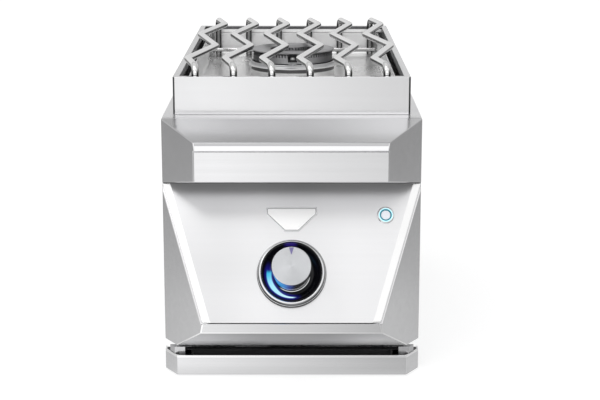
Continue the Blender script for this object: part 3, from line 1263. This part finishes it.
def makeButton():
    s = buttonShape
    rim, top, tube, bore = s["rimRadius"], s["rimTop"], s["tubeRadius"], s["bore"]
    housing = [(0, s["tubeFoot"], 0), (tube, s["tubeFoot"], 0.5), (tube, 0.3, 0.2), (rim, 0.3, 0.2),
               (rim, 1.5, 0.5), (rim - 1, top, 0.4), (tube + 0.8, top, 0.2), (tube + 0.8, 1.4, 0.1),
               (bore, 1.4, 0.1), (bore, s["boreFoot"], 0.2), (0, s["boreFoot"], 0)]
    turnPiece("switchHousing", housing, buttonFrame, brightTrim, "switch_housing", steps=3)
    inner, outer, low = s["ringInner"], s["ringOuter"], s["ringFoot"]
    ring = [(inner, low, 0.25), (outer, low, 0.25), (outer, top, 0.25), (inner, top, 0.25)]
    turnPiece("switchLedRing", ring, buttonFrame, cyanLight, "switch_led_ring", 96, True, 3)
    radius = s["radius"]
    button = [(0, s["foot"], 0), (radius, s["foot"], 0.3), (radius, top, 0.8), (0, top, 0)]
    turnPiece("switchButton", button, buttonFrame, buttonWhite, "switch_button",
              body="button")


blackGloss = makeLampedBlack("blackGloss", 0.0)
blueLight = makeLampedBlack("blueLight", 1.0)
knobSide = makeKnobSide()
bezelChrome = makeBezelChrome()
cyanLight = makeRingLight()
makeKnob()
makeBezel()
makeButton()
print("controls made")


trayShape = {"sideStart": 100.0, "plateHalf": 137.9, "nose": 14.0}  # where the materials change


def makeTray():
    s = trayShape
    front = refineNode("tray_front", "trayFront", traySteel, "tray", 0.7, 3)
    paintFaces(front, wornEdge, lambda face: face.center.x > s["sideStart"] * mm
               and abs(face.normal.z) < 0.2 and 0.1 < face.normal.x < 0.5)
    top = refineNode("tray_top_plate", "trayTopPlate", blockSteel, "tray", 0.5, 3)
    paintFaces(top, blackPlastic, lambda face: abs(face.center.x) < s["plateHalf"] * mm)
    tray = refineNode("drip_tray", "dripTray", panSteel, "tray", 0.3)
    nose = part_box("drip_tray")[0].y + s["nose"] * mm
    paintFaces(tray, blackPlastic, lambda face: face.center.y < nose)


makeTray()
for node, name in (("left_side_panel", "leftSidePanel"), ("right_side_panel", "rightSidePanel"),
                   ("rear_panel", "rearPanel"), ("base_panel", "basePanel")):
    refineNode(node, name, innerSheet, "housing", 0.2, pierced=True)

screwShape = {"headRadius": 3.4, "headHeight": 1.9, "socket": 1.5, "socketDepth": 1.1, "edge": 11.0,
              "rows": 3, "foot": 40.0, "step": 118.0, "sides": 24}
screwMetal = spunMetal("screwMetal", (0.62, 0.63, 0.64), (0, 0, 0), 0, 0.26, 0.36, 0.0003, 0.04, 0.1)


# Copies of the incoming screw head in two rows
def makeScrewTree():
    inputs = (("Geometry", "Geometry"), ("Count", "Int"), ("Start", "Vector"), ("Step", "Vector"),
              ("Across", "Vector"), ("Turn", "Vector"), ("Material", "Material"))
    tree, into, out = newTree("GeometryNodeTree", "screwRows", inputs, ("Geometry",), "Geometry")
    row = addNode(tree, "GeometryNodeMeshLine", {"Count": into["Count"], "Start Location": into["Start"],
                                                 "Offset": into["Step"]})
    second = addNode(tree, "GeometryNodeTransform", {"Geometry": row, "Translation": into["Across"]})
    both = addNode(tree, "GeometryNodeJoinGeometry", {0: row})
    feed(tree, both, {0: second})
    copies = addNode(tree, "GeometryNodeInstanceOnPoints",
                     {"Points": both, "Instance": into["Geometry"], "Rotation": into["Turn"]})
    return endTree(tree, copies, into["Material"], out)


# A button head with a hexagon socket, standing on z = 0
def screwHead():
    s = screwShape

    def ring(radius, height, corners=0):
        points = []
        for k in range(s["sides"]):
            angle = 2 * pi * k / s["sides"]
            reach = radius
            if corners:
                reach = radius / cos((angle + pi / corners) % (2 * pi / corners) - pi / corners)
            points.append(Vector((reach * cos(angle), reach * sin(angle), height)) * mm)
        return points

    r, h, socket = s["headRadius"], s["headHeight"], s["socket"]
    return skinLoops([ring(r * 0.96, -0.2), ring(r, 0.0), ring(r, 0.45), ring(r * 0.88, h * 0.66),
                      ring(r * 0.68, h * 0.93), ring(socket * 1.25, h), ring(socket * 1.02, h - 0.12, 6),
                      ring(socket, h - 0.3, 6), ring(socket, h - s["socketDepth"], 6)])


def makeScrews():
    s = screwShape
    edge, foot = s["edge"] * mm, s["foot"] * mm
    low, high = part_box("rear_panel")
    start = high.x - edge
    rows = [("rearScrews", (start, high.y, foot), (low.x + edge - start, 0, 0), (-pi / 2, 0, 0))]
    for node, name, side in (("left_side_panel", "leftScrews", -1), ("right_side_panel", "rightScrews", 1)):
        low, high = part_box(node)
        outer = low.x if side < 0 else high.x
        front = low.y + edge * 1.4
        rows.append((name, (outer, front, foot), (0, high.y - front - edge, 0), (0, side * pi / 2, 0)))
    screwTree = makeScrewTree()
    for name, start, across, turn in rows:
        piece = newObject(name, screwHead(), screwMetal)
        runTree(piece, screwTree, {"Count": s["rows"], "Start": start, "Step": (0, 0, s["step"] * mm),
                                   "Across": across, "Turn": turn, "Material": screwMetal})
        finishEdges(piece, sharpAngle=35)
        register(piece, "housing")


inletShape = {"radius": 6.4, "threadPitch": 1.0, "threadDepth": 0.55, "bore": 4.0, "boreDepth": 6.0,
              "chamfer": 0.9, "wallGap": 0.4}


# Gas inlet: a hexagon body with chamfered corners and a threaded spigot
def makeInlet():
    s = inletShape
    low, high = (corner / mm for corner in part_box("inlet_fitting"))
    spot = Vector(((low.x + high.x) / 2, low.y, (low.z + high.z) / 2)) * mm
    matrix = Matrix.Translation(spot) @ Matrix.Rotation(-pi / 2, 4, "X")
    radius, bore, chamfer, length = s["radius"], s["bore"], s["chamfer"], high.y - low.y
    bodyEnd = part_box("rear_panel")[0].y / mm - low.y - s["wallGap"]
    line = [(0, 0), (radius, 0), (radius, bodyEnd + 1)]
    at = bodyEnd + 1.6
    while at < length - 1.4:
        line += [(radius - s["threadDepth"], at), (radius, at + s["threadPitch"] / 2)]
        at += s["threadPitch"]
    line += [(radius - 0.7, length), (bore + 0.2, length), (bore, length - s["boreDepth"]),
             (0, length - s["boreDepth"])]
    whole = latheMesh(line, matrix, 64)
    rings = []
    for inset, height in ((chamfer, 0.0), (0.0, chamfer), (0.0, bodyEnd - chamfer), (chamfer, bodyEnd)):
        reach = (high.x - low.x) / 2 - inset
        rings.append([matrix @ (Vector((reach * cos(k * pi / 3), reach * sin(k * pi / 3), height)) * mm)
                      for k in range(6)])
    joinMeshes(whole, skinLoops(rings))
    finishPiece("inletFitting", whole, brass, "housing", ("inlet_fitting",), sharpAngle=30)


makeScrews()
makeInlet()

# Solids that stay as they are take a plain finish by their slot
plainFinishes = {
    "inner_sheet": innerSheet, "brass": brass, "black_plastic": blackPlastic, "ceramic": ceramic,
    "pan_steel": panSteel, "brushed_steel": brushedSteel, "rod_steel": rodSteel,
}
slots = {row["node"]: row["material_slot"] for row in frame["record"]["subparts"]}
for node, cadObject in frame["nodes"].items():
    if slots[node] in plainFinishes:
        cadObject.data.materials.clear()
        cadObject.data.materials.append(plainFinishes[slots[node]])
print("chassis dressed")


# To the camera a pale floor that keeps the shadow; to the metal, light shaded by place for its reflections
def makeFloor():
    half, drop = 30, 0.0006
    bm = bmesh.new()
    bm.faces.new([bm.verts.new((x * half, y * half, -drop)) for x, y in ((-1, -1), (1, -1), (1, 1), (-1, 1))])
    material = bpy.data.materials.new("paleFloor")
    tree = emptyTree(material)
    x, y = axes(tree, tree.nodes.new("ShaderNodeNewGeometry").outputs["Position"])[:2]
    distance = calc(tree, "ABSOLUTE", x)
    far = smooth(tree, y, -1.3, -0.42, 0.98, 0.78)
    beside = smooth(tree, y, -0.36, 0.05, 1.0, 0.62)
    away = smooth(tree, distance, 0.4, 1.5, 1.0, 0.7)
    close = times(tree, smooth(tree, distance, 0.5, 0.25), smooth(tree, y, -0.33, -0.25))
    behind = times(tree, smooth(tree, y, 0.3, 0.8), smooth(tree, distance, 1.0, 0.5))
    slant = times(tree, smooth(tree, y, -1.0, -0.45, 0.45, 1.0), smooth(tree, y, -0.25, -0.33))
    across = scaled(tree, smooth(tree, x, -0.32, 0.32, 0.5, -0.5), slant, 1.0)
    level = times(tree, far, beside, away, scaled(tree, close, -0.13, 1.0))
    strength = times(tree, scaled(tree, behind, 0.3, level), across)
    bounce = addNode(tree, "ShaderNodeEmission", {"Color": (1, 1, 1, 1), "Strength": strength})
    glow = addNode(tree, "ShaderNodeEmission", {"Color": (1, 1, 1, 1), "Strength": 0.62})
    diffuse = addNode(tree, "ShaderNodeBsdfDiffuse", {"Color": (0.62, 0.62, 0.62, 1)})
    seen = addNode(tree, "ShaderNodeAddShader", {0: glow, 1: diffuse})
    byCamera = tree.nodes.new("ShaderNodeLightPath").outputs["Is Camera Ray"]
    mixed = addNode(tree, "ShaderNodeMixShader", {0: byCamera, 1: bounce, 2: seen})
    addNode(tree, "ShaderNodeOutputMaterial", {0: mixed})
    newObject("floor", bm, material)


# White to the camera; as light, a grey studio brighter in front, behind, overhead and in two soft panels
def makeWorld():
    world = bpy.data.worlds.new("studio")
    scene.world = world
    tree = emptyTree(world)
    way = tree.nodes.new("ShaderNodeTexCoord").outputs["Generated"]
    x, y, z = axes(tree, way)
    ahead = times(tree, y, -1.0)
    total = scaled(tree, smooth(tree, ahead, 0.1, 0.7), 0.38, 0.62)
    backdrop = times(tree, smooth(tree, y, 0.5, 0.9), smooth(tree, z, 0.5, 0.32))
    total = scaled(tree, backdrop, 0.25, total)
    total = scaled(tree, smooth(tree, z, 0.62, 0.95), 0.22, total)
    lowFront = times(tree, smooth(tree, ahead, 0.78, 0.92), smooth(tree, z, 0.03, 0.1))
    total = scaled(tree, lowFront, 0.36, total)
    for side in (-1, 1):
        aim = addNode(tree, "ShaderNodeVectorMath", {0: way, 1: (side * 0.61, -0.65, 0.446)},
                      operation="DOT_PRODUCT").outputs["Value"]
        total = scaled(tree, smooth(tree, aim, 0.86, 0.97), 0.45, total)
    total = times(tree, total, scaled(tree, x, -0.1, 1.0))
    studio = addNode(tree, "ShaderNodeBackground", {"Strength": total})
    white = addNode(tree, "ShaderNodeBackground", {"Color": (1, 1, 1, 1), "Strength": 1.0})
    byCamera = tree.nodes.new("ShaderNodeLightPath").outputs["Is Camera Ray"]
    mixed = addNode(tree, "ShaderNodeMixShader", {0: byCamera, 1: studio, 2: white})
    addNode(tree, "ShaderNodeOutputWorld", {0: mixed})


keyLight = {"width": 1.6, "depth": 1.2, "watts": 7, "place": (-0.7, -1.3, 2.2), "target": (0, 0, 0.2)}


def makeKeyLight():
    lamp = bpy.data.lights.new("softKey", "AREA")
    lamp.shape = "RECTANGLE"
    lamp.size = keyLight["width"]
    lamp.size_y = keyLight["depth"]
    lamp.energy = keyLight["watts"]
    made = bpy.data.objects.new("softKey", lamp)
    made.location = keyLight["place"]
    aim = Vector(keyLight["target"]) - made.location
    made.rotation_euler = aim.to_track_quat("-Z", "Y").to_euler()
    scene.collection.objects.link(made)


photoView = {"focalLength": 90.24, "sensor": 36, "place": (0.01054, -2.1215, 0.66454), "tilt": 76.845}


def makeCamera():
    lens = bpy.data.cameras.new("photoCamera")
    lens.lens = photoView["focalLength"]
    lens.sensor_width = photoView["sensor"]
    made = bpy.data.objects.new("photoCamera", lens)
    made.location = photoView["place"]
    made.rotation_euler = (radians(photoView["tilt"]), 0, 0)
    scene.collection.objects.link(made)
    scene.camera = made


makeFloor()
makeWorld()
makeKeyLight()
makeCamera()
scene.view_settings.view_transform = "Standard"
print("stage, light and camera made")
